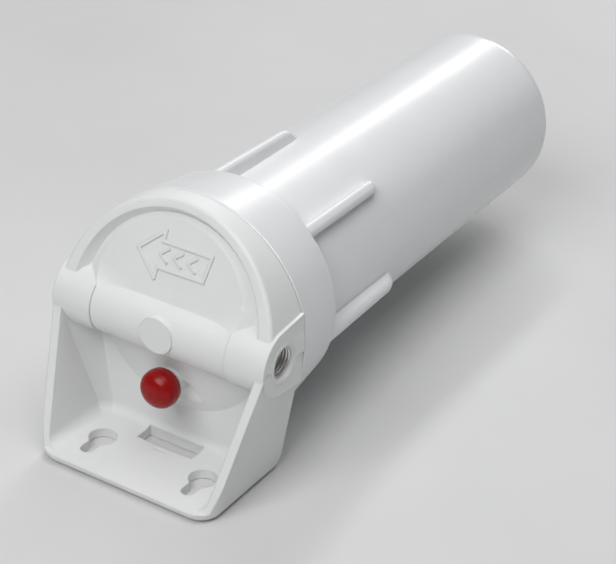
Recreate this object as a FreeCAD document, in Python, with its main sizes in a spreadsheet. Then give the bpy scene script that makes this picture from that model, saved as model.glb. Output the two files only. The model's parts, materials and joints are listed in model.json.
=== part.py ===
"""Wall-mounted cartridge filter housing, 10 inch size, in millimetres.

Row frame: origin on the back face of the mounting plate, midway between the two keyholes;
+X along the cross tube, +Y along the sump towards its closed end, +Z away from the wall.

Two working frames are used. The cap frame has its origin where the sump's axis crosses the
seam between cap and sump, with the row's directions. The axial frame shares that origin, and
its +Z runs down the sump, so every turned piece is a profile of (radius, depth) about Z.
"""
import FreeCAD, Part
import math
import os
import re

import Sketcher

doc = FreeCAD.newDocument("FilterHousing")

# ---------------------------------------------------------------- driving dimensions
SIZES = {
    "AxisHeight": 63.2,        # sump axis above the plate's back face
    "SeamOffset": 41.7,        # seam plane past the keyhole line
    # cap
    "CapRadius": 54.5,
    "CapRimRadius": 53.3,
    "CapDepth": 36.0,          # blank length before the slope is cut
    "RimFront": 27.0,          # rim plane at the axis, in front of the seam
    "SlopeAngle": 18.93,       # lean of the front face
    "RimRound": 1.8,
    "GrooveRadius": 46.4,
    "GrooveCentre": 6.9,       # up the slope from the axis
    "GrooveFloorRadius": 43.0,
    "GrooveDepth": 5.4,
    "FaceRadius": 37.8,
    "FaceCentre": 11.2,
    "FaceLevel": 1.5,          # edge of the sloping face below the rim
    "FaceCrown": 0.2,
    "FaceCrownRadius": 3500.0,
    "BlendCentre": 89.0,       # of the curve where the tube meets the face, up the slope
    "BlendRadius": 75.7,
    "BlendRound": 20.0,        # concave round along that curve
    "BlendLevel": 1.3,
    "FaceSpread": 5.6,         # of the face's sloping side, from its edge to the groove's floor
    "RampEnd": 25.0,           # where the groove's floor starts to rise towards the tube
    "RampRound": 24.0,
    "RampTop": 1.4,
    "ArrowHeight": 0.4,
    "CeilingLevel": 4.0,       # inner ceiling in front of the seam
    "WallFront": 11.0,         # back wall of the bracket in front of the seam
    "BulgeBall": 102.0,
    "BulgeHeight": 9.5,
    # threaded skirt
    "SkirtInner": 41.5,
    "SkirtRoot": 45.7,
    "SkirtDepth": 23.8,
    "ThreadPitch": 6.0,
    "ThreadHeight": 1.9,
    "ThreadStart": 5.6,
    "ThreadLength": 15.0,
    # cross tube and ports
    "TubeFront": 14.3,         # tube axis in front of the seam
    "TubeRadius": 14.5,
    "TubeHalf": 34.0,
    "PortRadius": 15.0,
    "PortHalf": 53.6,
    "PortFlare": 16.5,
    "BossRadius": 8.3,
    "BossFront": 29.0,
    "BossLift": 0.5,
    "ChannelRadius": 5.0,
    "InsertDepth": 1.6,        # of the moulded-in insert behind the port face
    "InsertSeat": 17.0,        # length of the pocket that holds an insert and its seal
    "InsertOuter": 9.2,
    "InsertBore": 6.3,
    "InsertLength": 15.2,
    "InsertMouth": 6.7,
    "PortMouth": 7.7,          # flared opening in the port face
    "PortLip": 9.6,            # low ring round the opening
    "PortSealSection": 0.9,
    "InletDrop": 31.0,
    # bracket
    "PlateThickness": 4.4,
    "PlateFront": 54.5,        # front edge in front of the seam
    "PlateHalf": 44.2,
    "GussetHalf": 53.8,        # outer half width at the axis
    "HollowRound": 5.0,
    "HollowLow": 40.6,         # half width between the gussets, at the plate
    "HollowHigh": 49.6,        # the same at the axis
    "FlareLowFront": 14.0,     # where the flared corners leave the gussets
    "FlareHighFront": 30.0,
    "FlareLowHalf": 35.5,      # where they meet the back wall
    "FlareHighHalf": 45.3,
    "PlateRound": 4.2,
    "BackRound": 8.0,
    "CornerRound": 10.0,
    "KeyholeSpacing": 52.6,
    "KeyholeRadius": 6.2,
    "KeyslotRadius": 3.0,
    "KeyholeFront": 31.0,
    "KeyslotFront": 41.7,
    "SlotHalf": 14.3,
    "SlotNear": 13.0,
    "SlotFar": 22.4,
    # relief valve
    "ReliefDrop": 26.8,        # below the axis
    "ArchFloor": 13.3,         # floor of the arched recess below the button
    "ArchDrop": 39.5,
    "ArchHalf": 14.3,
    "ArchMouth": 19.9,
    "ReliefSleeve": 6.3,
    "ReliefSleeveFront": 19.6,
    "ReliefBore": 3.2,
    "StemRadius": 3.1,
    "ButtonRadius": 8.8,
    "ButtonFront": 25.6,       # widest circle of the mushroom
    "ButtonCrown": 6.6,
    "SpringSeat": 12.0,
    "SpringRadius": 4.6,
    "SpringWire": 0.55,        # half of the wire's diameter
    "SpringPocket": 5.4,
    # sump
    "SeamGap": 0.5,
    "CollarBackRadius": 51.0,
    "CollarDepth": 30.1,
    "CollarBore": 48.2,
    "CollarMinor": 46.2,
    "SumpTopRadius": 43.8,
    "SumpEndRadius": 42.7,
    "SumpDepth": 254.7,
    "SumpEndRound": 11.0,
    "SumpWall": 4.0,
    "SumpFloor": 4.4,
    "LedgeDepth": 24.7,
    "OringSection": 1.75,
    "OringRadius": 43.7,
    "RibCount": 6,
    "RibWidth": 6.4,
    "RibCrest": 50.6,
    "RibEndCrest": 49.4,
    "RibDepth": 90.0,
    # cartridge
    "CartridgeTop": 1.6,
    "CartridgeBottom": 248.4,
    "CartridgeRadius": 31.8,
    "CartridgeHole": 13.6,
    "EndCapThickness": 7.0,
    "GasketOuter": 22.0,
    "GasketInner": 14.2,
    "GasketProud": 1.6,
    "CoreOuter": 17.0,
    "CoreInner": 14.6,
    "CoreHole": 3.0,
    "PleatOuter": 30.0,
    "PleatInner": 18.6,
    "CageInner": 30.4,
}
PLEATS = 44

sheet = doc.addObject("Spreadsheet::Sheet", "Sizes")
for row, (alias, value) in enumerate(SIZES.items(), start=1):
    sheet.set(f"A{row}", alias)
    sheet.set(f"B{row}", str(value))
    sheet.setAlias(f"B{row}", alias)
doc.recompute()


def size(alias):
    """Return one driving dimension from the sheet as a plain number."""
    return float(sheet.get(alias))


def bound(text):
    """Turn 'CapRadius - 2' into an expression on the sheet."""
    return re.sub(r"\b([A-Z]\w+)", r"Sizes.\1", text)


# ---------------------------------------------------------------- small builders
ROTATE = {
    "none": FreeCAD.Rotation(),
    "along_y": FreeCAD.Rotation(FreeCAD.Vector(1, 0, 0), -90),
    "along_x": FreeCAD.Rotation(FreeCAD.Vector(0, 1, 0), 90),
    "front": FreeCAD.Rotation(FreeCAD.Vector(1, 0, 0), 90),
}


def place(solid, at, turn="none"):
    """Turn an object, then bind its position to expressions on the sheet."""
    rotation = ROTATE[turn] if isinstance(turn, str) else turn
    solid.Placement = FreeCAD.Placement(FreeCAD.Vector(), rotation)
    for axis, text in zip("xyz", at):
        solid.setExpression("Placement.Base." + axis, bound(text))
    return solid


def primitive(kind, name, sizes, at=("0", "0", "0"), turn="none"):
    """Make a Part primitive whose sizes and position come from the sheet."""
    solid = doc.addObject("Part::" + kind, name)
    for prop, text in sizes.items():
        solid.setExpression(prop, bound(text))
    return place(solid, at, turn)


def fuse(name, pieces):
    joined = doc.addObject("Part::MultiFuse", name)
    joined.Shapes = pieces
    joined.Refine = True
    return joined


def join(name, pieces):
    """Fuse pieces one after another, which is steadier than all at once on curved shells."""
    joined = pieces[0]
    for step, piece in enumerate(pieces[1:], start=1):
        last = step == len(pieces) - 1
        both = doc.addObject("Part::Fuse", name if last else f"{name}_{step}")
        both.Base = joined
        both.Tool = piece
        joined = both
    return joined


def cut(name, base, tool):
    left = doc.addObject("Part::Cut", name)
    left.Base = base
    left.Tool = tool
    left.Refine = True
    return left


def common(name, pieces):
    shared = doc.addObject("Part::MultiCommon", name)
    shared.Shapes = pieces
    return shared


def rounded(name, base, radius, wanted):
    """Fillet the edges of base that the test picks, at a radius in millimetres."""
    doc.recompute()
    chosen = [i for i, edge in enumerate(base.Shape.Edges, start=1) if wanted(edge)]
    if not chosen:
        raise ValueError(name + ": no edge to round")
    fillet = doc.addObject("Part::Fillet", name)
    fillet.Base = base
    fillet.Edges = [(i, radius, radius) for i in chosen]
    return fillet


def middle(edge):
    return edge.valueAt((edge.FirstParameter + edge.LastParameter) / 2)


def new_sketch(body, role, name):
    """Attach a sketch to one of the body's own origin planes."""
    sketch = body.newObject("Sketcher::SketchObject", name)
    planes = [item for item in body.Origin.OriginFeatures if item.Role == role]
    sketch.AttachmentSupport = [(planes[0], "")]
    sketch.MapMode = "FlatFace"
    return sketch


def outline(sketch, corners):
    """Draw a closed outline whose corners are pairs of sheet expressions."""
    count = len(corners)
    turns = [2 * math.pi * i / count for i in range(count)]
    start = [FreeCAD.Vector(50 + 30 * math.cos(a), 50 + 30 * math.sin(a), 0) for a in turns]
    for i in range(count):
        sketch.addGeometry(Part.LineSegment(start[i], start[(i + 1) % count]), False)
    for i in range(count):
        sketch.addConstraint(Sketcher.Constraint("Coincident", i, 2, (i + 1) % count, 1))
    for i, (across, up) in enumerate(corners):
        for kind, text, value in (("DistanceX", across, start[i].x), ("DistanceY", up, start[i].y)):
            number = sketch.addConstraint(Sketcher.Constraint(kind, -1, 1, i, 1, value))
            sketch.setExpression(f"Constraints[{number}]", bound(text))


def turned(name, corners):
    """A body revolved about Z from a closed outline of (radius, depth) corners."""
    body = doc.addObject("PartDesign::Body", name)
    sketch = new_sketch(body, "XZ_Plane", name + "_profile")
    outline(sketch, corners)
    spin = body.newObject("PartDesign::Revolution", name + "_turned")
    spin.Profile = sketch
    spin.ReferenceAxis = (sketch, ["V_Axis"])
    spin.Angle = 360
    sketch.Visibility = False
    return body


def slab(name, corners, width):
    """A body padded across X from a closed (y, z) outline, half of the width each way."""
    body = doc.addObject("PartDesign::Body", name)
    sketch = new_sketch(body, "YZ_Plane", name + "_profile")
    outline(sketch, corners)
    pad = body.newObject("PartDesign::Pad", name + "_pad")
    pad.Profile = sketch
    pad.setExpression("Length", bound(width))
    pad.Midplane = True
    return body


def ridge(body, name, corners):
    """Add a right-handed helical ridge to a turned body."""
    sketch = new_sketch(body, "XZ_Plane", name)
    outline(sketch, corners)
    helix = body.newObject("PartDesign::AdditiveHelix", name + "_ridge")
    helix.Profile = sketch
    helix.ReferenceAxis = (sketch, ["V_Axis"])
    helix.Mode = 0
    helix.setExpression("Pitch", "Sizes.ThreadPitch")
    helix.setExpression("Height", "Sizes.ThreadLength")
    helix.LeftHanded = False
    return helix


def hollow_section(name, half, front, wall_half, level):
    """Outline across the bracket's hollow: gusset sides, two flared corners and the back wall."""
    sketch = doc.addObject("Sketcher::SketchObject", name)
    outline(sketch, [
        ("-" + half, "-90"), ("-" + half, "-" + front), ("-" + wall_half, "-WallFront"),
        (wall_half, "-WallFront"), (half, "-" + front), (half, "-90"),
    ])
    return place(sketch, ("0", "0", level))


SUBPARTS = []


def subpart(solid, label, frame="axial"):
    """Name a finished sub-part and carry it from its working frame to the row frame."""
    solid.Label = label
    place(solid, ("0", "SeamOffset", "AxisHeight"), "along_y" if frame == "axial" else "none")
    SUBPARTS.append(solid)
    return solid


# ---------------------------------------------------------------- head: cap, tube and bracket
SLOPE = FreeCAD.Rotation(FreeCAD.Vector(1, 0, 0), 90 - size("SlopeAngle"))
SLOPE_ORIGIN = FreeCAD.Vector(0, -size("RimFront"), 0)
BIG = "200"


def on_slope(across, up, proud):
    """A point given along and above the leaning rim plane, in the cap frame."""
    return SLOPE_ORIGIN + SLOPE.multVec(FreeCAD.Vector(across, up, proud))


def on_rim_axis(solid, rise):
    """Stand a turned tool on the leaning rim plane, a distance up the slope from the axis."""
    lean = "(90 - SlopeAngle) * 1deg"
    return place(solid, ("0", f"-RimFront + {rise} * cos({lean})", f"{rise} * sin({lean})"), SLOPE)


def cap_upper():
    """The half of the cap above the tube, with its leaning rim, groove and crowned face."""
    blank = primitive("Cone", "cap_blank", {
        "Radius1": "CapRadius", "Radius2": "CapRimRadius", "Height": "CapDepth",
    }, turn="front")
    keep = slab("cap_slope", [
        ("0", "-1"), ("0", "CapRadius + 5"),
        ("-RimFront + (CapRadius + 5) * tan(SlopeAngle * 1deg)", "CapRadius + 5"),
        ("-RimFront - tan(SlopeAngle * 1deg)", "-1"),
    ], "CapRadius * 2 + 10")
    upper = common("cap_sloped", [blank, keep])

    def on_rim(edge):
        point = middle(edge)
        gap = point.y + size("RimFront") - point.z * math.tan(math.radians(size("SlopeAngle")))
        return abs(gap) < 0.05 and point.z > 5 and edge.Length > 20

    upper = rounded("cap_rounded", upper, size("RimRound"), on_rim)
    recess = on_rim_axis(turned("cap_recess", [
        ("0", "8"), ("GrooveRadius + 0.6", "8"), ("GrooveRadius", "0.2"), ("GrooveRadius - 1.4", "-2.6"),
        ("GrooveFloorRadius", "-GrooveDepth"), ("0", "-GrooveDepth"),
    ]), "GrooveCentre")
    mound = turned("face_mound", [
        ("0", "-GrooveDepth - 1"), ("FaceRadius + FaceSpread", "-GrooveDepth - 1"),
        ("FaceRadius + FaceSpread", "-GrooveDepth - 0.01"), ("FaceRadius", "-FaceLevel"),
        ("FaceRadius - 0.6", "0"), ("0", "0"),
    ])
    crown = primitive("Sphere", "face_crown", {"Radius": "FaceCrownRadius"},
                      ("0", "0", "-FaceLevel + FaceCrown - FaceCrownRadius"))
    face = on_rim_axis(common("cap_face", [mound, crown]), "FaceCentre")
    kept_face = common("cap_face_kept", [face, primitive(
        "Box", "face_limit", {"Length": "2 * CapRadius", "Width": BIG, "Height": BIG},
        ("-CapRadius", "-100", "0"))])
    return [cut("cap_recessed", upper, recess), kept_face]


def tube_blend():
    """Concave fill between the tube and the sloping face, ending on a smooth U-shaped curve."""
    strip = primitive("Box", "blend_strip", {
        "Length": "2 * FaceRadius", "Width": "18", "Height": "6.6",
    }, ("-FaceRadius", "9", "-5"))
    slope = "FaceSpread / (GrooveDepth - FaceLevel)"
    inside = primitive("Cone", "blend_limit", {
        "Radius1": "FaceRadius - 0.3 + 5 * " + slope, "Radius2": "FaceRadius - 0.3 - 5 * " + slope,
        "Height": "10",
    }, ("0", "FaceCentre", "-FaceLevel - 5"))
    beyond = primitive("Cylinder", "blend_curve", {"Radius": "BlendRadius", "Height": "30"},
                       ("0", "BlendCentre", "-15"))
    scoop = primitive("Torus", "blend_scoop", {"Radius1": "BlendRadius", "Radius2": "BlendRound"},
                      ("0", "BlendCentre", "BlendRound - BlendLevel"))
    fill = cut("blend_fill", common("blend_blank", [strip, inside]), fuse("blend_tools", [beyond, scoop]))
    return on_rim_axis(fill, "0")


def groove_ramp():
    """Concave rise of the groove's floor up to the tube, at both ends of the groove."""
    strip = primitive("Box", "ramp_strip", {
        "Length": "2 * GrooveRadius", "Width": "RampEnd - 3", "Height": "GrooveDepth + 1 + RampTop",
    }, ("-GrooveRadius", "3", "-GrooveDepth - 1"))
    inside = primitive("Cylinder", "ramp_limit", {"Radius": "GrooveRadius - 0.2", "Height": "20"},
                       ("0", "GrooveCentre", "-10"))
    scoop = primitive("Cylinder", "ramp_scoop", {"Radius": "RampRound", "Height": BIG},
                      ("-100", "RampEnd", "RampRound - GrooveDepth - 0.02"), "along_x")
    ramp = cut("ramp_fill", common("ramp_blank", [strip, inside]), scoop)
    return on_rim_axis(ramp, "0")


def bracket_shell():
    """Mounting plate with its two leaning gussets and the back wall between them."""
    block = primitive("Wedge", "bracket_block", {
        "Xmin": "-PlateHalf", "Xmax": "PlateHalf", "Ymin": "0", "Ymax": "AxisHeight",
        "Zmin": "0", "Zmax": "PlateFront", "X2min": "-GussetHalf", "X2max": "GussetHalf",
        "Z2min": "0", "Z2max": "PlateFront",
    }, ("0", "0", "-AxisHeight"), "front")
    floor_level = -size("AxisHeight")

    def front_corner(edge):
        point = middle(edge)
        return abs(point.y + size("PlateFront")) < 0.1 and abs(point.x) > 40 and edge.Length > 30

    def bottom_side(edge):
        point = middle(edge)
        return abs(point.z - floor_level) < 0.1 and abs(point.x) > 20 and edge.Length > 40

    def bottom_back(edge):
        point = middle(edge)
        return abs(point.z - floor_level) < 0.1 and abs(point.y) < 0.1 and abs(point.x) < 1

    cornered = rounded("bracket_corners", block, size("CornerRound"), front_corner)
    block = common("bracket_rounded", [
        rounded("bracket_sides", cornered, size("PlateRound"), bottom_side),
        rounded("bracket_back", block, size("BackRound"), bottom_back),
    ])
    front = primitive("Wedge", "bracket_front_cut", {
        "Xmin": "-80", "Xmax": "80", "X2min": "-80", "X2max": "80",
        "Ymin": "0", "Ymax": "AxisHeight - PlateThickness + 1",
        "Zmin": "PlateFront - 4.2", "Zmax": "120",
        "Z2min": "RimFront + 0.6", "Z2max": "120",
    }, ("0", "0", "-AxisHeight + PlateThickness"), "front")
    hollow = doc.addObject("Part::Loft", "bracket_hollow_raw")
    hollow.Sections = [
        hollow_section("hollow_low", "HollowLow", "FlareLowFront", "FlareLowHalf",
                       "-AxisHeight + PlateThickness"),
        hollow_section("hollow_high", "HollowHigh", "FlareHighFront", "FlareHighHalf", "0.5"),
    ]
    hollow.Solid = True
    hollow.Ruled = True
    plate_top = floor_level + size("PlateThickness")

    def plate_edge(edge):
        point = middle(edge)
        return abs(point.z - plate_top) < 0.1 and point.y > -80

    hollow = rounded("bracket_hollow", hollow, size("HollowRound"), plate_edge)
    return cut("bracket_shell", cut("bracket_sloped", block, front), hollow)


def bulge():
    """Shallow dome on the back wall below the tube."""
    dome = primitive("Sphere", "bulge_ball", {"Radius": "BulgeBall"},
                     ("0", "-WallFront - BulgeHeight + BulgeBall", "0"))
    lower = primitive("Box", "bulge_limit", {
        "Length": "2 * CapRadius", "Width": "30", "Height": "CapRadius",
    }, ("-CapRadius", "-WallFront + 3 - 30", "-CapRadius"))
    return common("bulge", [dome, lower])


def tube_solids():
    """Cross tube, its D-shaped port ends and the flat disc boss in front."""
    tube = primitive("Cylinder", "tube", {"Radius": "TubeRadius", "Height": "2 * TubeHalf + 2"},
                     ("-TubeHalf - 1", "-TubeFront", "0"), "along_x")
    solids = [tube]
    for side, low in (("right", "TubeHalf"), ("left", "-PortHalf")):
        solids.append(primitive("Cylinder", side + "_port_round", {
            "Radius": "PortRadius", "Height": "PortHalf - TubeHalf",
        }, (low, "-TubeFront", "0"), "along_x"))
        flat = slab(side + "_port_flat", [
            ("-TubeFront", "-PortRadius"), ("0", "-PortFlare"), ("0", "PortFlare"),
            ("-TubeFront", "PortRadius"),
        ], "PortHalf - TubeHalf")
        sign = "" if side == "right" else "-"
        solids.append(place(flat, (f"{sign}(PortHalf + TubeHalf) / 2", "0", "0")))
        lip = primitive("Cone", side + "_port_lip", {
            "Radius1": "PortLip + 1", "Radius2": "PortLip - 0.4", "Height": "1.4",
        })
        toward = FreeCAD.Rotation(FreeCAD.Vector(0, 1, 0), 90 if side == "right" else -90)
        solids.append(place(lip, (f"{sign}(PortHalf - 1)", "-TubeFront", "0"), toward))
    solids.append(primitive("Cylinder", "tube_boss", {
        "Radius": "BossRadius", "Height": "BossFront - TubeFront",
    }, ("0", "-TubeFront", "BossLift"), "front"))
    return solids


def arrow():
    """Raised outline of a flow arrow on the sloping face, filled with three plain chevrons."""
    stroke = 1.5

    def bar(start, end, width=stroke):
        run = FreeCAD.Vector(end[0] - start[0], end[1] - start[1], 0)
        side = FreeCAD.Vector(-run.y, run.x, 0).normalize() * (width / 2)
        tip = FreeCAD.Vector(run).normalize() * (width / 2)
        first = FreeCAD.Vector(start[0], start[1], 0) - tip
        last = FreeCAD.Vector(end[0], end[1], 0) + tip
        loop = [first + side, last + side, last - side, first - side, first + side]
        face = Part.Face(Part.makePolygon(loop))
        return face.extrude(FreeCAD.Vector(0, 0, 8))

    corners = [(-18.4, 32.6), (-8.4, 22.2), (-7.8, 27.0), (15.0, 27.4),
               (17.0, 38.3), (-7.2, 38.3), (-6.8, 43.0)]
    bars = [bar(corners[i], corners[(i + 1) % len(corners)]) for i in range(len(corners))]
    for middle_x in (-5.5, 1.5, 8.5):
        bars.append(bar((middle_x - 2.0, 32.8), (middle_x + 1.6, 35.6), 1.1))
        bars.append(bar((middle_x - 2.0, 32.8), (middle_x + 1.6, 30.0), 1.1))
    raised = bars[0].multiFuse(bars[1:])
    raised.Placement = FreeCAD.Placement(on_slope(0, 0, -size("GrooveDepth")), SLOPE)
    strokes = doc.addObject("Part::Feature", "arrow_strokes")
    strokes.Shape = raised
    shell = on_rim_axis(common("arrow_shell", [
        primitive("Sphere", "arrow_ball", {"Radius": "FaceCrownRadius + ArrowHeight"},
                  ("0", "0", "-FaceLevel + FaceCrown - FaceCrownRadius")),
        primitive("Cylinder", "arrow_disc", {"Radius": "FaceRadius", "Height": "GrooveDepth + 2"},
                  ("0", "0", "-GrooveDepth")),
    ]), "FaceCentre")
    return common("arrow_mark", [strokes, shell])


def head_cuts():
    """Everything removed from the head: chamber, ports, passages, keyholes and slot."""
    tools = [
        primitive("Cylinder", "chamber", {"Radius": "SkirtInner", "Height": "CeilingLevel + 60"},
                  ("0", "-CeilingLevel", "0"), "along_y"),
        primitive("Cylinder", "relief_hole", {"Radius": "ReliefBore", "Height": "60"},
                  ("0", "10", "-ReliefDrop"), "front"),
        primitive("Cylinder", "spring_pocket", {"Radius": "SpringPocket", "Height": "20"},
                  ("0", "-SpringSeat", "-ReliefDrop"), "front"),
        primitive("Cylinder", "outlet_channel", {
            "Radius": "ChannelRadius", "Height": "PortHalf + ChannelRadius",
        }, ("-PortHalf", "-TubeFront", "0"), "along_x"),
        primitive("Cylinder", "inlet_channel", {
            "Radius": "ChannelRadius", "Height": "PortHalf - InletDrop + ChannelRadius",
        }, ("InletDrop - ChannelRadius", "-TubeFront", "0"), "along_x"),
        primitive("Cylinder", "outlet_drop", {"Radius": "ChannelRadius", "Height": "TubeFront + 60"},
                  ("0", "-TubeFront", "0"), "along_y"),
        primitive("Cylinder", "inlet_drop", {"Radius": "ChannelRadius", "Height": "TubeFront + 60"},
                  ("InletDrop", "-TubeFront", "0"), "along_y"),
        primitive("Box", "plate_slot", {
            "Length": "2 * SlotHalf", "Width": "SlotFar - SlotNear", "Height": "22",
        }, ("-SlotHalf", "-SlotFar", "-AxisHeight - 1")),
    ]
    for side, low, mouth in (
            ("right", "PortHalf - InsertDepth - InsertSeat", "PortHalf - InsertDepth - 0.1"),
            ("left", "-PortHalf + InsertDepth", "-PortHalf - 1")):
        tools.append(primitive("Cylinder", side + "_insert_pocket", {
            "Radius": "InsertOuter", "Height": "InsertSeat",
        }, (low, "-TubeFront", "0"), "along_x"))
        inner, outer = ("Radius1", "Radius2") if side == "right" else ("Radius2", "Radius1")
        tools.append(primitive("Cone", side + "_port_mouth", {
            inner: "InsertMouth - 0.1", outer: "PortMouth + 0.6", "Height": "InsertDepth + 1.1",
        }, (mouth, "-TubeFront", "0"), "along_x"))
    for side, sign in (("right", ""), ("left", "-")):
        centre = f"{sign}KeyholeSpacing / 2"
        tools.append(primitive("Cylinder", side + "_keyhole", {"Radius": "KeyholeRadius", "Height": "14"},
                               (centre, "-KeyholeFront", "-AxisHeight - 1")))
        tools.append(primitive("Cylinder", side + "_keyslot", {"Radius": "KeyslotRadius", "Height": "14"},
                               (centre, "-KeyslotFront", "-AxisHeight - 1")))
        tools.append(primitive("Box", side + "_keyslot_neck", {
            "Length": "2 * KeyslotRadius", "Width": "KeyslotFront - KeyholeFront", "Height": "14",
        }, (centre + " - KeyslotRadius", "-KeyslotFront", "-AxisHeight - 1")))
    return fuse("head_cuts", tools)


def chamber_fittings():
    """Spud and knife-edge ring that hold and seal the cartridge, inside the chamber."""
    spud = turned("cap_spud", [
        ("ChannelRadius + 1", "-CeilingLevel - 1"), ("12.6", "-CeilingLevel - 1"),
        ("12.6", "CartridgeTop + 5"), ("11.4", "CartridgeTop + 7"),
        ("ChannelRadius + 1", "CartridgeTop + 7"),
    ])
    ridge = turned("cap_seal_ring", [
        ("16.6", "-CeilingLevel - 1"), ("19.8", "-CeilingLevel - 1"), ("18.7", "CartridgeTop - 0.1"),
        ("17.7", "CartridgeTop - 0.1"),
    ])
    return [place(spud, ("0", "0", "0"), "along_y"), place(ridge, ("0", "0", "0"), "along_y")]


def male_thread():
    """Thread of the skirt: a thin land with a right-handed ridge round it."""
    land = turned("skirt_land", [
        ("SkirtRoot - 1", "3"), ("SkirtRoot + 0.1", "3"),
        ("SkirtRoot + 0.1", "ThreadStart + ThreadLength + 1.9"),
        ("SkirtRoot - 1", "ThreadStart + ThreadLength + 1.9"),
    ])
    ridge(land, "skirt_thread", [
        ("SkirtRoot - 0.5", "ThreadStart - 1.7"), ("SkirtRoot + ThreadHeight", "ThreadStart - 0.8"),
        ("SkirtRoot + ThreadHeight", "ThreadStart + 0.8"), ("SkirtRoot - 0.5", "ThreadStart + 1.7"),
    ])
    return place(land, ("0", "0", "0"), "along_y")


def make_head():
    skirt = turned("cap_skirt", [
        ("SkirtInner - 1", "-CeilingLevel - 2"), ("SkirtRoot", "-CeilingLevel - 2"),
        ("SkirtRoot", "SkirtDepth - 0.8"), ("SkirtRoot - 0.8", "SkirtDepth"),
        ("SkirtInner - 1", "SkirtDepth"),
    ])
    place(skirt, ("0", "0", "0"), "along_y")
    shells = join("head_shells", [bracket_shell()] + tube_solids() + [bulge()] + cap_upper()
                  + [tube_blend(), groove_ramp()])
    ahead_of_seam = primitive("Box", "head_limit", {"Length": BIG, "Width": "100", "Height": BIG},
                              ("-100", "-100", "-100"))
    outer = fuse("head_outer", [common("head_ahead", [shells, ahead_of_seam]), skirt])
    arch = primitive("Cone", "arch_recess", {
        "Radius1": "ArchHalf", "Radius2": "ArchMouth", "Height": "12",
    }, ("0", "-ArchFloor", "-ArchDrop"), "front")
    recessed = cut("head_recessed", outer, arch)
    sleeve = primitive("Cylinder", "relief_sleeve", {
        "Radius": "ReliefSleeve", "Height": "ReliefSleeveFront - CeilingLevel - 1",
    }, ("0", "-CeilingLevel - 1", "-ReliefDrop"), "front")
    marked = fuse("head_marked", [recessed, sleeve, arrow()])
    hollowed = cut("head_hollowed", marked, head_cuts())
    return subpart(join("head_body", [hollowed] + chamber_fittings() + [male_thread()]), "head", "cap")


# ---------------------------------------------------------------- port inserts
def make_inserts():
    """Threaded metal insert moulded into each port, with a seal ring behind it."""
    for side, turn, sign in (("inlet", 90, ""), ("outlet", -90, "-")):
        insert = turned(side + "_insert_body", [
            ("InsertBore", "0.5"), ("InsertMouth", "0"), ("InsertOuter", "0"), ("InsertOuter", "4"),
            ("InsertOuter - 0.8", "4.8"), ("InsertOuter - 0.8", "7"), ("InsertOuter", "7.8"),
            ("InsertOuter", "InsertLength"), ("InsertBore", "InsertLength"),
        ])
        insert.Label = side + "_insert"
        seat = FreeCAD.Rotation(FreeCAD.Vector(0, 1, 0), -turn)
        place(insert, (f"{sign}(PortHalf - InsertDepth)", "SeamOffset - TubeFront", "AxisHeight"), seat)
        SUBPARTS.append(insert)
        ring = primitive("Torus", side + "_seal_body", {
            "Radius1": "InsertOuter - PortSealSection - 0.3", "Radius2": "PortSealSection",
        }, (f"{sign}(PortHalf - InsertDepth - InsertLength - PortSealSection)",
            "SeamOffset - TubeFront", "AxisHeight"), "along_x")
        ring.Label = side + "_insert_seal"
        SUBPARTS.append(ring)


# ---------------------------------------------------------------- relief valve
def make_relief_valve():
    """Red mushroom button on a stem, with spring, seal and retaining clip."""
    def at_relief(solid, label):
        solid.Label = label
        place(solid, ("0", "SeamOffset", "AxisHeight - ReliefDrop"), "front")
        SUBPARTS.append(solid)

    button = turned("relief_button_body", [
        ("0", "0.2"), ("StemRadius", "0.2"), ("StemRadius", "1.2"), ("StemRadius - 0.8", "1.2"),
        ("StemRadius - 0.8", "2.2"), ("StemRadius", "2.2"), ("StemRadius", "ButtonFront - 1.2"),
        ("ButtonRadius - 1.6", "ButtonFront - 1.2"), ("ButtonRadius - 1.6", "ButtonFront - 3.6"),
        ("ButtonRadius - 0.6", "ButtonFront - 3.6"), ("ButtonRadius", "ButtonFront - 0.8"),
        ("ButtonRadius * 0.97", "ButtonFront + ButtonCrown * 0.28"),
        ("ButtonRadius * 0.88", "ButtonFront + ButtonCrown * 0.52"),
        ("ButtonRadius * 0.72", "ButtonFront + ButtonCrown * 0.74"),
        ("ButtonRadius * 0.5", "ButtonFront + ButtonCrown * 0.9"),
        ("ButtonRadius * 0.25", "ButtonFront + ButtonCrown * 0.98"), ("0", "ButtonFront + ButtonCrown"),
    ])
    at_relief(button, "relief_button")
    clip = turned("relief_clip_body", [
        ("StemRadius - 0.75", "1.3"), ("StemRadius + 2.4", "1.3"), ("StemRadius + 2.4", "2.1"),
        ("StemRadius - 0.75", "2.1"),
    ])
    at_relief(clip, "relief_clip")
    seal = turned("relief_seal_body", [
        ("StemRadius + 0.05", "CeilingLevel - 1.7"), ("StemRadius + 2.6", "CeilingLevel - 1.7"),
        ("StemRadius + 2.6", "CeilingLevel - 0.15"), ("StemRadius + 0.05", "CeilingLevel - 0.15"),
    ])
    at_relief(seal, "relief_seal")

    spring = primitive("Helix", "spring_path", {
        "Radius": "SpringRadius", "Pitch": "(ButtonFront - 1.2 - SpringSeat - 2 * SpringWire) / 5",
        "Height": "ButtonFront - 1.2 - SpringSeat - 2 * SpringWire",
    })
    wire_end = primitive("Circle", "spring_section", {"Radius": "SpringWire"},
                         ("SpringRadius", "0", "0"), "front")
    coil = doc.addObject("Part::Sweep", "relief_spring_body")
    coil.Sections = [wire_end]
    coil.Spine = spring
    coil.Solid = True
    coil.Frenet = True
    coil.Label = "relief_spring"
    place(coil, ("0", "SeamOffset - SpringSeat - SpringWire", "AxisHeight - ReliefDrop"), "front")
    SUBPARTS.append(coil)


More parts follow.
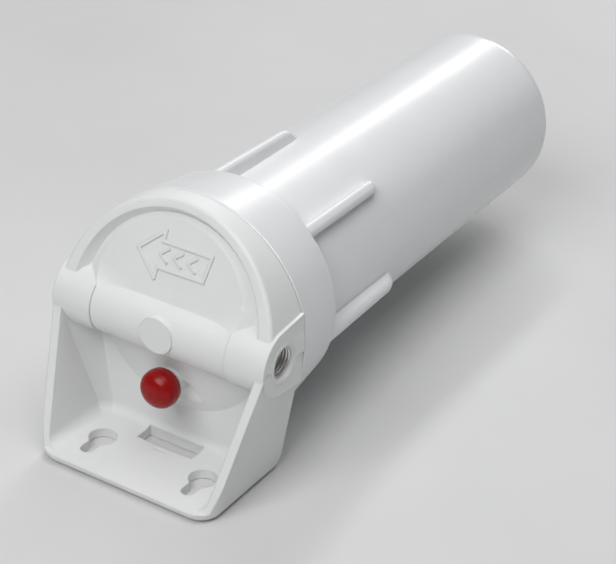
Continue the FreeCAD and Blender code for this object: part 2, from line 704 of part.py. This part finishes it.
# ---------------------------------------------------------------- sump
def rib(number):
    """One grip rib: a rounded bar that starts inside the collar's back and dies into the wall."""
    blank = slab(f"rib_{number}", [
        ("SumpEndRadius - 2", "CollarDepth - 2"), ("RibCrest", "CollarDepth - 2"),
        ("RibEndCrest", "RibDepth - 4"), ("SumpEndRadius - 2", "RibDepth + 2"),
    ], "RibWidth")
    crest = size("RibEndCrest")

    def far_corner(edge):
        point = middle(edge)
        return abs(point.y - crest) < 0.05 and abs(point.z - size("RibDepth") + 4) < 0.05

    def long_edge(edge):
        point = middle(edge)
        return abs(abs(point.x) - size("RibWidth") / 2) < 0.05 and point.y > crest - 6 and (
            point.z > size("CollarDepth") - 1)

    blank = rounded(f"rib_{number}_end", blank, 9.0, far_corner)
    blank = rounded(f"rib_{number}_crest", blank, 2.7, long_edge)
    angle = -90 - (45 + number * 360 / size("RibCount"))
    return place(blank, ("0", "0", "0"), FreeCAD.Rotation(FreeCAD.Vector(0, 0, 1), angle))


def female_thread():
    """Thread of the collar, half a pitch away from the skirt's ridge."""
    start = "ThreadStart - ThreadPitch / 2"
    land = turned("collar_land", [
        ("CollarBore - 0.1", f"{start} - 1.9"), ("CollarBore + 1.2", f"{start} - 1.9"),
        ("CollarBore + 1.2", f"{start} + ThreadLength + 1.9"),
        ("CollarBore - 0.1", f"{start} + ThreadLength + 1.9"),
    ])
    ridge(land, "collar_thread", [
        ("CollarBore + 0.5", f"{start} - 1.7"), ("CollarMinor", f"{start} - 0.8"),
        ("CollarMinor", f"{start} + 0.8"), ("CollarBore + 0.5", f"{start} + 1.7"),
    ])
    return land


def make_sump():
    wall = turned("sump_wall", [
        ("CollarBore", "SeamGap"), ("CapRadius", "SeamGap"), ("CollarBackRadius", "CollarDepth"),
        ("SumpTopRadius", "CollarDepth"), ("SumpEndRadius", "SumpDepth"), ("0", "SumpDepth"),
        ("0", "SumpDepth - SumpFloor"), ("SumpEndRadius - SumpWall", "SumpDepth - SumpFloor"),
        ("SumpTopRadius - SumpWall", "LedgeDepth"), ("OringRadius - OringSection - 0.1", "LedgeDepth"),
        ("OringRadius - OringSection - 0.1", "LedgeDepth + 2.6"),
        ("OringRadius + OringSection + 0.1", "LedgeDepth + 2.6"),
        ("OringRadius + OringSection + 0.1", "LedgeDepth"), ("CollarBore", "LedgeDepth"),
    ])

    def circle_at(radius, depth):
        def test(edge):
            box = edge.BoundBox
            return (abs(box.XMax - size(radius)) < 0.1 and abs(box.ZMax - size(depth)) < 0.1
                    and abs(box.ZMin - size(depth)) < 0.1)
        return test

    shell = rounded("sump_end", wall, size("SumpEndRound"), circle_at("SumpEndRadius", "SumpDepth"))
    shell = rounded("sump_collar_back", shell, 1.6, circle_at("CollarBackRadius", "CollarDepth"))
    shell = rounded("sump_collar_root", shell, 3.0, circle_at("SumpTopRadius", "CollarDepth"))
    shell = rounded("sump_collar_lip", shell, 0.7, circle_at("CapRadius", "SeamGap"))
    floor_level = size("SumpDepth") - size("SumpFloor")
    inner = size("SumpEndRadius") - size("SumpWall")

    def inner_floor(edge):
        box = edge.BoundBox
        return abs(box.XMax - inner) < 0.1 and abs(box.ZMin - floor_level) < 0.1

    shell = rounded("sump_floor_corner", shell, size("SumpEndRound") - size("SumpWall"), inner_floor)
    post = turned("sump_post", [
        ("0", "SumpDepth - SumpFloor + 1"), ("0", "CartridgeBottom - 7"), ("10.6", "CartridgeBottom - 7"),
        ("12.4", "CartridgeBottom - 5"), ("12.4", "SumpDepth - SumpFloor + 1"),
    ])
    seat = turned("sump_seat", [
        ("16.6", "SumpDepth - SumpFloor + 1"), ("17.7", "CartridgeBottom + 0.1"),
        ("18.7", "CartridgeBottom + 0.1"), ("19.8", "SumpDepth - SumpFloor + 1"),
    ])
    ribs = [rib(number) for number in range(int(size("RibCount")))]
    return subpart(join("sump_body", [shell] + ribs + [post, seat, female_thread()]), "sump")


def make_sump_oring():
    ring = primitive("Torus", "sump_oring_body", {"Radius1": "OringRadius", "Radius2": "OringSection"})
    ring.Label = "sump_oring"
    place(ring, ("0", "SeamOffset + SkirtDepth + OringSection", "AxisHeight"), "along_y")
    SUBPARTS.append(ring)


# ---------------------------------------------------------------- cartridge
def make_core():
    """Perforated inner tube of the cartridge."""
    tube = turned("core_tube", [
        ("CoreInner", "CartridgeTop + 4"), ("CoreOuter", "CartridgeTop + 4"),
        ("CoreOuter", "CartridgeBottom - 4"), ("CoreInner", "CartridgeBottom - 4"),
    ])
    drills = []
    for level in range(16):
        for turn in range(3):
            across = FreeCAD.Rotation(FreeCAD.Vector(0, 0, 1), 60 * turn + 30 * (level % 2))
            across = across.multiply(ROTATE["along_x"])
            reach = f"(CoreOuter + 3) * {math.cos(math.radians(60 * turn + 30 * (level % 2))):.6f}"
            drift = f"(CoreOuter + 3) * {math.sin(math.radians(60 * turn + 30 * (level % 2))):.6f}"
            drills.append(primitive("Cylinder", f"core_drill_{level}_{turn}", {
                "Radius": "CoreHole", "Height": "2 * CoreOuter + 6",
            }, (f"-{reach}", f"-{drift}", f"CartridgeTop + 22 + {level} * 13.5"), across))
    return subpart(cut("core_body", tube, fuse("core_drills", drills)), "cartridge_core")


def make_cage():
    """Outer sleeve with rows of rectangular windows."""
    sleeve = turned("cage_sleeve", [
        ("CageInner", "CartridgeTop + 10"), ("CartridgeRadius - 0.6", "CartridgeTop + 10"),
        ("CartridgeRadius - 0.6", "CartridgeBottom - 10"), ("CageInner", "CartridgeBottom - 10"),
    ])
    windows = []
    for level in range(9):
        for turn in range(6):
            turned_by = FreeCAD.Rotation(FreeCAD.Vector(0, 0, 1), 30 * turn)
            window = primitive("Box", f"cage_window_{level}_{turn}", {
                "Length": "100", "Width": "11", "Height": "19",
            }, ("0", "0", "0"), turned_by)
            angle = math.radians(30 * turn)
            corner = (-50 * math.cos(angle) + 5.5 * math.sin(angle),
                      -50 * math.sin(angle) - 5.5 * math.cos(angle))
            place(window, (f"{corner[0]:.5f}", f"{corner[1]:.5f}",
                           f"CartridgeTop + 16 + {level} * 24.2"), turned_by)
            windows.append(window)
    return subpart(cut("cage_body", sleeve, fuse("cage_windows", windows)), "cartridge_cage")


def make_media():
    """Pleated filter sheet: a folded band pulled along the cartridge."""
    fold = 0.55

    def zigzag(inner, outer):
        points = []
        for pleat in range(PLEATS):
            for radius, half in ((outer, 0), (inner, 0.5)):
                angle = 2 * math.pi * (pleat + half) / PLEATS
                points.append(FreeCAD.Vector(radius * math.cos(angle), radius * math.sin(angle), 0))
        points.append(points[0])
        return Part.makePolygon(points)

    outside = zigzag(size("PleatInner") + 5 * fold, size("PleatOuter"))
    inside = zigzag(size("PleatInner"), size("PleatOuter") - 6 * fold)
    band = Part.makeFace([outside, inside], "Part::FaceMakerBullseye")
    length = size("CartridgeBottom") - size("CartridgeTop") - 12
    sheet_body = doc.addObject("Part::Feature", "media_body")
    sheet_body.Shape = band.extrude(FreeCAD.Vector(0, 0, length))
    sheet_body.Label = "pleated_media"
    place(sheet_body, ("0", "SeamOffset + CartridgeTop + 6", "AxisHeight"), "along_y")
    SUBPARTS.append(sheet_body)


def make_end_caps():
    """Moulded end caps and their flat gaskets, the bottom pair mirrored from the top pair."""
    for name, start, sign in (("top", "CartridgeTop", "+"), ("bottom", "CartridgeBottom", "-")):
        def depth(offset):
            return f"{start} {sign} ({offset})"

        cap = turned(name + "_cap_body", [
            ("CartridgeHole", depth("GasketProud")), ("GasketInner - 0.2", depth("GasketProud")),
            ("GasketInner - 0.2", depth("GasketProud + 1.4")),
            ("GasketOuter + 0.2", depth("GasketProud + 1.4")),
            ("GasketOuter + 0.2", depth("GasketProud")), ("CartridgeRadius - 1", depth("GasketProud")),
            ("CartridgeRadius", depth("GasketProud + 1")),
            ("CartridgeRadius", depth("10 + EndCapThickness")),
            ("CartridgeRadius - 0.5", depth("10 + EndCapThickness")),
            ("CartridgeRadius - 0.5", depth("5.9")),
            ("PleatInner - 1.5", depth("5.9")), ("PleatInner - 1.5", depth("3.9")),
            ("CartridgeHole", depth("3.9")),
        ])
        subpart(cap, name + "_end_cap")
        gasket = turned(name + "_gasket_body", [
            ("GasketInner", depth("0")), ("GasketOuter", depth("0")),
            ("GasketOuter", depth("GasketProud + 1.35")), ("GasketInner", depth("GasketProud + 1.35")),
        ])
        subpart(gasket, name + "_gasket")


doc.recompute()
make_head()
make_inserts()
make_relief_valve()
make_sump()
make_sump_oring()
make_core()
make_cage()
make_media()
make_end_caps()
doc.recompute()

# ---------------------------------------------------------------- checks and export
for item in doc.Objects:
    if "Invalid" in item.State or "Error" in item.State:
        raise RuntimeError("failed object: " + item.Name)
os.makedirs("parts", exist_ok=True)
for item in SUBPARTS:
    if item.Shape.isNull() or not item.Shape.isValid():
        raise RuntimeError("bad shape: " + item.Label)
    item.Shape.exportStep("parts/" + item.Label + ".step")
    box = item.Shape.BoundBox
    print(item.Label, len(item.Shape.Solids), "solids", round(item.Shape.Volume), "mm3",
          [round(v, 1) for v in (box.XMin, box.XMax, box.YMin, box.YMax, box.ZMin, box.ZMax)])
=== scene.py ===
import json
import math

import bmesh
import bpy
from mathutils import Matrix, Quaternion, Vector


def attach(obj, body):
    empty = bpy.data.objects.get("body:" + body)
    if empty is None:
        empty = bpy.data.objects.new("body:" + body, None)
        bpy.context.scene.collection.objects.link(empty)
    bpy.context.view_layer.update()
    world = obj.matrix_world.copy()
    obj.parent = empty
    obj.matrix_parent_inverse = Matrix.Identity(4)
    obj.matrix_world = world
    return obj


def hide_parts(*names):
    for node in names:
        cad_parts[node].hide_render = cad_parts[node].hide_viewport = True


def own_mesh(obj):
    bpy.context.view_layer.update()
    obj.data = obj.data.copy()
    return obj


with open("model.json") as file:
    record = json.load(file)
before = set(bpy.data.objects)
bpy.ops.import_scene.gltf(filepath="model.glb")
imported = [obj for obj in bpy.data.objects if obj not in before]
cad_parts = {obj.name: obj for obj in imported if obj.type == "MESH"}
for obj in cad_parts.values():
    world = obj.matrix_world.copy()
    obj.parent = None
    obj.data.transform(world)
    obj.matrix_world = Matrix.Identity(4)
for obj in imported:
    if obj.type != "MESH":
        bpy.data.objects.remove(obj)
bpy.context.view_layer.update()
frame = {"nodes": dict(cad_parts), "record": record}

# ---------------------------------------------------------------- camera
# The photograph's viewing angle. Lengths are in metres, the sensor and the lens in millimetres.
AZIMUTH = math.radians(31.042)
ELEVATION = math.radians(29.893)
ROLL = math.radians(2.719)
TARGET = Vector((0.0262, 0.0885, 0.0632))
DISTANCE = 0.8199
SENSOR = 36.0
LENS = 110.5
NEAREST = 0.01


def make_camera():
    data = bpy.data.cameras.new("camera")
    data.sensor_width = SENSOR
    data.lens = LENS
    data.clip_start = NEAREST
    camera = bpy.data.objects.new("camera", data)
    bpy.context.collection.objects.link(camera)
    back = Vector((math.sin(AZIMUTH) * math.cos(ELEVATION),
                   -math.cos(AZIMUTH) * math.cos(ELEVATION), math.sin(ELEVATION)))
    right = Vector((math.cos(AZIMUTH), math.sin(AZIMUTH), 0))
    up = back.cross(right)
    rolled_right = math.cos(ROLL) * right + math.sin(ROLL) * up
    rolled_up = math.cos(ROLL) * up - math.sin(ROLL) * right
    turn = Matrix((rolled_right, rolled_up, back)).transposed()
    camera.matrix_world = Matrix.Translation(TARGET + DISTANCE * back) @ turn.to_4x4()
    bpy.context.scene.camera = camera


# ---------------------------------------------------------------- studio
SKY_COLOUR = (0.98, 0.99, 1.0, 1)
SKY_STRENGTH = 0.14


def area_light(name, toward, distance, size, power, roll=0.0):
    """A soft box of some watts in a direction from TARGET, facing it and rolled in degrees."""
    data = bpy.data.lights.new(name, "AREA")
    data.shape = "RECTANGLE"
    data.size, data.size_y = size
    data.energy = power
    lamp = bpy.data.objects.new(name, data)
    toward = Vector(toward).normalized()
    lamp.location = TARGET + distance * toward
    turned = toward.to_track_quat("Z", "Y") @ Quaternion((0, 0, 1), math.radians(roll))
    lamp.rotation_euler = turned.to_euler()
    bpy.context.collection.objects.link(lamp)


def make_studio():
    world = bpy.data.worlds.new("studio")
    world.use_nodes = True
    background = world.node_tree.nodes["Background"]
    background.inputs["Color"].default_value = SKY_COLOUR
    background.inputs["Strength"].default_value = SKY_STRENGTH
    bpy.context.scene.world = world
    area_light("overhead", toward=(0.20, 0.0, 1.0), distance=1.7, size=(1.1, 1.1), power=11.0)
    area_light("front_fill", toward=(0.0, -0.85, 0.9), distance=1.6, size=(1.0, 0.8), power=13.4)
    area_light("back_strip", toward=(-0.293, 0.743, 0.601), distance=1.3, size=(0.12, 1.5),
               power=6.3, roll=-33.2)


# ---------------------------------------------------------------- materials
# A noise's values lie mostly between these two, so a remap or a tint runs from one to the other.
NOISE_LOW = 0.3
NOISE_HIGH = 0.7

PLASTIC_IOR = 1.49
BEVEL_SAMPLES = 4
# Noise scales, in features per metre.
MOTTLE_SCALE = 45
WAVE_SCALE = 32
MOULD_GRAIN_SCALE = 2600
METAL_CLOUD_SCALE = 300
FIBRE_SCALE = 1500
FLOOR_CLOUD_SCALE = 6
# Bump depths, in metres.
TURNING_DEPTH = 0.00003
FIBRE_DEPTH = 0.00015

FUZZ_SHEEN = 0.25
FLOOR_DARK = (0.64, 0.64, 0.64)
FLOOR_LIGHT = (0.68, 0.68, 0.68)
FLOOR_ROUGHNESS = 0.8


def link(material, source, target):
    material.node_tree.links.new(source, target)


def node(material, kind, **values):
    """Add a shader node and set its inputs by name."""
    made = material.node_tree.nodes.new("ShaderNode" + kind)
    for name, value in values.items():
        made.inputs[name.replace("_", " ")].default_value = value
    return made


def noise(material, scale, detail=3.0, roughness=0.55, stretch=(1, 1, 1)):
    """Noise over the object's own coordinates, in features per metre."""
    coordinates = node(material, "TexCoord")
    mapping = node(material, "Mapping", Scale=stretch)
    link(material, coordinates.outputs["Object"], mapping.inputs["Vector"])
    made = node(material, "TexNoise", Scale=scale, Detail=detail, Roughness=roughness)
    link(material, mapping.outputs["Vector"], made.inputs["Vector"])
    return made.outputs["Fac"]


def remap(material, source, low, high):
    """A value that runs from low to high with the noise."""
    made = node(material, "MapRange")
    made.inputs["From Min"].default_value = NOISE_LOW
    made.inputs["From Max"].default_value = NOISE_HIGH
    made.inputs["To Min"].default_value = low
    made.inputs["To Max"].default_value = high
    link(material, source, made.inputs["Value"])
    return made.outputs["Result"]


def tint(material, source, dark, light, from_low=NOISE_LOW, from_high=NOISE_HIGH):
    """A colour that runs from dark to light with the noise."""
    ramp = node(material, "ValToRGB")
    ramp.color_ramp.elements[0].position = from_low
    ramp.color_ramp.elements[0].color = (*dark, 1)
    ramp.color_ramp.elements[1].position = from_high
    ramp.color_ramp.elements[1].color = (*light, 1)
    link(material, source, ramp.inputs["Fac"])
    return ramp.outputs["Color"]


def bump(material, source, distance, under=None):
    """A normal with the source as its height, on top of another normal if there is one."""
    made = node(material, "Bump", Distance=distance, Strength=1.0)
    link(material, source, made.inputs["Height"])
    if under is not None:
        link(material, under, made.inputs["Normal"])
    return made.outputs["Normal"]


def new_material(name):
    material = bpy.data.materials.new(name)
    material.use_nodes = True
    return material, material.node_tree.nodes["Principled BSDF"]


def moulded(name, dark, light, rough, grain, wave=0.00012, bevel=0.0005, specular=0.5):
    """Moulded plastic: faint mottling, shallow waves, fine grain from the mould and soft edges."""
    material, shader = new_material(name)
    cloud = noise(material, MOTTLE_SCALE, detail=4)
    link(material, tint(material, cloud, dark, light), shader.inputs["Base Color"])
    link(material, remap(material, cloud, rough[0], rough[1]), shader.inputs["Roughness"])
    soft = node(material, "Bevel", Radius=bevel)
    soft.samples = BEVEL_SAMPLES
    waves = noise(material, WAVE_SCALE, detail=2)
    shape = bump(material, waves, wave, under=soft.outputs["Normal"])
    grains = noise(material, MOULD_GRAIN_SCALE, detail=2)
    link(material, bump(material, grains, grain, under=shape), shader.inputs["Normal"])
    shader.inputs["IOR"].default_value = PLASTIC_IOR
    shader.inputs["Specular IOR Level"].default_value = specular
    return material


def turned_metal(name, dark, light, rough, rings):
    """Machined and plated metal with fine turning marks across the X axis."""
    material, shader = new_material(name)
    cloud = noise(material, METAL_CLOUD_SCALE, detail=4)
    link(material, tint(material, cloud, dark, light), shader.inputs["Base Color"])
    shader.inputs["Metallic"].default_value = 1.0
    link(material, remap(material, cloud, rough[0], rough[1]), shader.inputs["Roughness"])
    marks = noise(material, rings, detail=2, stretch=(1, 0.02, 0.02))
    link(material, bump(material, marks, TURNING_DEPTH), shader.inputs["Normal"])
    return material


def soft_solid(name, dark, light, rough, cells, depth):
    """Rubber or foam: a fine cellular surface."""
    material, shader = new_material(name)
    grain = noise(material, cells, detail=5, roughness=0.7)
    link(material, tint(material, grain, dark, light), shader.inputs["Base Color"])
    link(material, remap(material, grain, rough[0], rough[1]), shader.inputs["Roughness"])
    link(material, bump(material, grain, depth), shader.inputs["Normal"])
    return material


def fibrous(name, dark, light):
    """Non-woven sheet: short crossed fibres and a soft fuzz."""
    material, shader = new_material(name)
    along = noise(material, FIBRE_SCALE, detail=4, roughness=0.75, stretch=(1, 0.15, 1))
    across = noise(material, FIBRE_SCALE, detail=4, roughness=0.75, stretch=(0.2, 1, 0.2))
    mixed = node(material, "Math")
    mixed.operation = "MAXIMUM"
    link(material, along, mixed.inputs[0])
    link(material, across, mixed.inputs[1])
    fibre = mixed.outputs["Value"]
    colour = tint(material, fibre, dark, light, from_low=0.4, from_high=0.75)
    link(material, colour, shader.inputs["Base Color"])
    link(material, remap(material, fibre, 0.8, 0.95), shader.inputs["Roughness"])
    link(material, bump(material, fibre, FIBRE_DEPTH), shader.inputs["Normal"])
    shader.inputs["Sheen Weight"].default_value = FUZZ_SHEEN
    return material


def floor_material():
    """Plain pale floor with a very faint cloud."""
    material, shader = new_material("floor_look")
    cloud = noise(material, FLOOR_CLOUD_SCALE, detail=3)
    link(material, tint(material, cloud, FLOOR_DARK, FLOOR_LIGHT), shader.inputs["Base Color"])
    shader.inputs["Roughness"].default_value = FLOOR_ROUGHNESS
    return material


def make_materials():
    """The finish of each material slot, from its dark to its light colour."""
    return {
        "head_plastic": moulded(
            "head_look", (0.775, 0.785, 0.785), (0.80, 0.808, 0.805),
            rough=(0.42, 0.50), grain=0.00003, bevel=0.0010),
        "sump_plastic": moulded(
            "sump_look", (0.785, 0.80, 0.81), (0.805, 0.82, 0.828),
            rough=(0.28, 0.30), grain=0.000012, wave=0.00006),
        "button_plastic": moulded(
            "button_look", (0.29, 0.001, 0.0015), (0.33, 0.002, 0.003),
            rough=(0.30, 0.34), grain=0.00001, wave=0.00005, specular=0.3),
        "insert_metal": turned_metal(
            "insert_look", (0.70, 0.69, 0.67), (0.84, 0.83, 0.81),
            rough=(0.36, 0.5), rings=4000),
        "seal_rubber": soft_solid(
            "rubber_look", (0.012, 0.012, 0.013), (0.03, 0.03, 0.032),
            rough=(0.55, 0.7), cells=900, depth=0.00004),
        "gasket_foam": soft_solid(
            "gasket_look", (0.70, 0.70, 0.66), (0.82, 0.82, 0.79),
            rough=(0.75, 0.9), cells=1400, depth=0.00018),
        "spring_steel": turned_metal(
            "spring_look", (0.5, 0.5, 0.5), (0.7, 0.7, 0.69),
            rough=(0.18, 0.3), rings=2500),
        "core_plastic": moulded(
            "core_look", (0.72, 0.72, 0.69), (0.78, 0.78, 0.755),
            rough=(0.45, 0.55), grain=0.00003, bevel=0.0003),
        "filter_media": fibrous("media_look", (0.66, 0.64, 0.57), (0.86, 0.85, 0.79)),
    }


def dress_nodes(materials):
    """Give every CAD node the finish of its own material slot."""
    slots = {entry["node"]: entry["material_slot"] for entry in frame["record"]["subparts"]}
    for name, obj in frame["nodes"].items():
        for holder in obj.material_slots:
            holder.material = materials[slots[name]]


# ---------------------------------------------------------------- pieces
def smooth_piece(name, corners, faces, finish):
    """A closed, smooth-shaded mesh on the housing, with the finish of a material slot."""
    mesh = bpy.data.meshes.new(name)
    mesh.from_pydata(corners, [], faces)
    work = bmesh.new()
    work.from_mesh(mesh)
    bmesh.ops.recalc_face_normals(work, faces=work.faces)
    work.to_mesh(mesh)
    work.free()
    for face in mesh.polygons:
        face.use_smooth = True
    piece = bpy.data.objects.new(name, mesh)
    bpy.context.collection.objects.link(piece)
    mesh.materials.append(MATERIALS[finish])
    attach(piece, "housing")
    return piece


def ring_faces(low, sides):
    """The quads between the ring of corners that starts at index low and the next ring."""
    faces = []
    for side in range(sides):
        after = (side + 1) % sides
        faces.append((low + side, low + after, low + sides + after, low + sides + side))
    return faces


# The cross tube's axis, as its y and z.
TUBE_AXIS = (0.0274, 0.0632)
THREAD_PITCH = 0.00141
# The ridge's radius at its foot, which is sunk in the insert's bore, and at its top.
THREAD_ROOT = 0.00645
THREAD_CREST = 0.00578
# Half its width at the foot and at the top, as shares of the pitch.
FOOT_SHARE = 0.44
TOP_SHARE = 0.08
# The thread's two ends in the right port, along x. The left port mirrors them.
THREAD_SPAN = (0.0378, 0.0512)
THREAD_STEPS = 40
RIDGE_SIDES = 4
# The ridge rises to its full height over this many steps, from a share of it that isn't zero.
FADE_STEPS = THREAD_STEPS / 2
LEAST_HEIGHT = 0.1


def pipe_thread(port, start, end):
    """Helical ridge of a port's pipe thread, fading out at both ends."""
    turns = (end - start) / THREAD_PITCH
    steps = int(turns * THREAD_STEPS)
    corners = []
    faces = [tuple(reversed(range(RIDGE_SIDES)))]
    for step in range(steps + 1):
        angle = 2 * math.pi * turns * step / steps
        fade = min(1.0, step / FADE_STEPS, (steps - step) / FADE_STEPS)
        crest = THREAD_ROOT - (THREAD_ROOT - THREAD_CREST) * max(fade, LEAST_HEIGHT)
        for radius, offset in ((THREAD_ROOT, -FOOT_SHARE), (crest, -TOP_SHARE),
                               (crest, TOP_SHARE), (THREAD_ROOT, FOOT_SHARE)):
            along = start + (end - start) * step / steps + offset * THREAD_PITCH
            corners.append((along, TUBE_AXIS[0] + radius * math.cos(angle),
                            TUBE_AXIS[1] + radius * math.sin(angle)))
        if step < steps:
            faces += ring_faces(RIDGE_SIDES * step, RIDGE_SIDES)
    faces.append(tuple(RIDGE_SIDES * steps + side for side in range(RIDGE_SIDES)))
    smooth_piece(port + "_thread", corners, faces, "insert_metal")


# The relief valve's spring lies along y at x = 0, from its seat out to the button.
SPRING_RADIUS = 0.0046
# Half of the wire's diameter.
SPRING_WIRE = 0.00055
SPRING_TURNS = 5
SPRING_SEAT = 0.0297
SPRING_REACH = 0.0123
RELIEF_HEIGHT = 0.0364
COIL_STEPS = 48
WIRE_SIDES = 12


def relief_coil():
    """The relief valve's spring at rest, fixed to the housing; the real spring shortens towards
    its seat as the button is pressed.
    """
    steps = SPRING_TURNS * COIL_STEPS
    rise = SPRING_REACH - 2 * SPRING_WIRE
    corners = []
    faces = [tuple(range(WIRE_SIDES))]
    for step in range(steps + 1):
        angle = 2 * math.pi * step / COIL_STEPS
        middle = SPRING_SEAT - SPRING_WIRE - rise * step / steps
        for side in range(WIRE_SIDES):
            around = 2 * math.pi * side / WIRE_SIDES
            radius = SPRING_RADIUS + SPRING_WIRE * math.cos(around)
            corners.append((radius * math.cos(angle), middle + SPRING_WIRE * math.sin(around),
                            RELIEF_HEIGHT + radius * math.sin(angle)))
        if step < steps:
            faces += ring_faces(WIRE_SIDES * step, WIRE_SIDES)
    faces.append(tuple(WIRE_SIDES * steps + side for side in range(WIRE_SIDES)))
    coil = smooth_piece("relief_coil", corners, faces, "spring_steel")
    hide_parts("relief_spring")
    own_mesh(coil)


# The floor's half width, and its height just under the object's back face.
FLOOR_REACH = 3
FLOOR_HEIGHT = -0.0002


def make_floor():
    corners = [(x * FLOOR_REACH, y * FLOOR_REACH, FLOOR_HEIGHT)
               for x, y in ((-1, -1), (1, -1), (1, 1), (-1, 1))]
    mesh = bpy.data.meshes.new("floor")
    mesh.from_pydata(corners, [], [(0, 1, 2, 3)])
    floor = bpy.data.objects.new("floor", mesh)
    bpy.context.collection.objects.link(floor)
    mesh.materials.append(floor_material())


make_camera()
make_studio()
make_floor()
MATERIALS = make_materials()
dress_nodes(MATERIALS)
pipe_thread("inlet", start=THREAD_SPAN[0], end=THREAD_SPAN[1])
pipe_thread("outlet", start=-THREAD_SPAN[1], end=-THREAD_SPAN[0])
relief_coil()
bpy.context.scene.view_settings.view_transform = "Standard"
